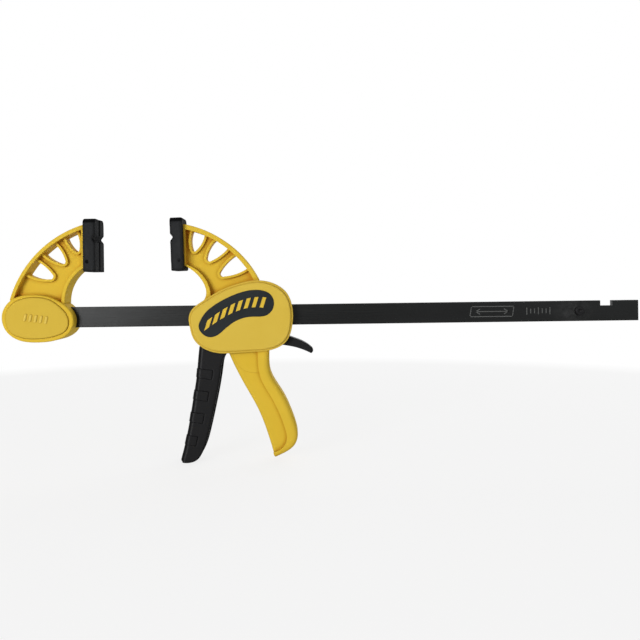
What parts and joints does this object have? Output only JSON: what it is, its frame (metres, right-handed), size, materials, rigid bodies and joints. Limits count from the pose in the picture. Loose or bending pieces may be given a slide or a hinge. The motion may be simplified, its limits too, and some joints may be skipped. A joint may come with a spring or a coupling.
{
  "type": "quick release bar clamp",
  "caption": "One-handed bar clamp: a jaw fixed at the end of a flat bar, and a pistol-grip sliding jaw driven by a trigger and held by a one-way brake plate.",
  "frame": {"origin": "middle of the fixed pad's clamping face", "axes": "+X along the bar from the fixed jaw to the tail, +Z the way the jaws reach, +Y away from the push button side"},
  "size_m": [0.542, 0.0332, 0.2078],
  "materials": {
    "yellow_nylon": "satin moulded glass-filled nylon",
    "yellow_cover": "fine moulded texture",
    "yellow_nylon_button": "fine moulded texture",
    "black_nylon": "moulded texture",
    "label_black": "printed satin film",
    "pad_rubber": "soft matt",
    "blackened_steel": "black oxide, satin",
    "plain_steel": "hardened, lightly oiled",
    "pin_steel": "turned",
    "screw_steel": "black zinc",
    "spring_steel": "drawn wire"
  },
  "bodies": {
    "bar_assembly": {"bar": "blackened_steel", "stop_pin": "pin_steel", "fixed_jaw": "yellow_nylon", "fixed_jaw_pad": "pad_rubber", "latch_spring": "spring_steel"},
    "latch": {"release_button": "yellow_nylon_button", "latch_key": "plain_steel"},
    "carriage": {"moving_jaw": "yellow_nylon", "moving_jaw_pad": "pad_rubber", "front_cover": "yellow_cover", "back_cover": "yellow_cover", "label_plate": "label_black", "cover_screws": "screw_steel", "trigger_pivot_pin": "pin_steel", "release_pivot_pin": "pin_steel", "drive_spring": "spring_steel", "brake_spring": "spring_steel"},
    "trigger": {"trigger": "black_nylon"},
    "drive": {"drive_plate_front": "plain_steel", "drive_plate_rear": "plain_steel"},
    "release": {"release_lever": "black_nylon", "brake_plate": "plain_steel"}
  },
  "joints": [
    {"name": "carriage_slide", "type": "slide", "parent": "bar_assembly", "child": "carriage", "axis": [1, 0, 0], "range_m": [-0.062, 0.241]},
    {"name": "button_push", "type": "slide", "parent": "bar_assembly", "child": "latch", "axis": [0, 1, 0], "range_m": [0, 0.0036], "stiffness_N_per_m": 600, "springref_m": -0.004, "deforming": ["latch_spring"]},
    {"name": "trigger_squeeze", "type": "hinge", "parent": "carriage", "child": "trigger", "pos_m": [0.104, 0, -0.0475], "axis": [0, -1, 0], "range_deg": [0, 25], "stiffness_Nm_per_rad": 0.4, "springref_deg": -17.19, "deforming": ["drive_spring"]},
    {"name": "plate_drive", "type": "slide", "parent": "carriage", "child": "drive", "axis": [1, 0, 0], "range_m": [0, 0.0121]},
    {"name": "brake_release", "type": "hinge", "parent": "carriage", "child": "release", "pos_m": [0.149, 0, -0.0805], "axis": [0, 1, 0], "range_deg": [0, 9], "stiffness_Nm_per_rad": 0.5, "springref_deg": -11.46, "deforming": ["brake_spring"]}
  ],
  "couplings": [
    {"joint": "plate_drive", "follows": "trigger_squeeze", "m_per_rad": 0.0275}
  ]
}
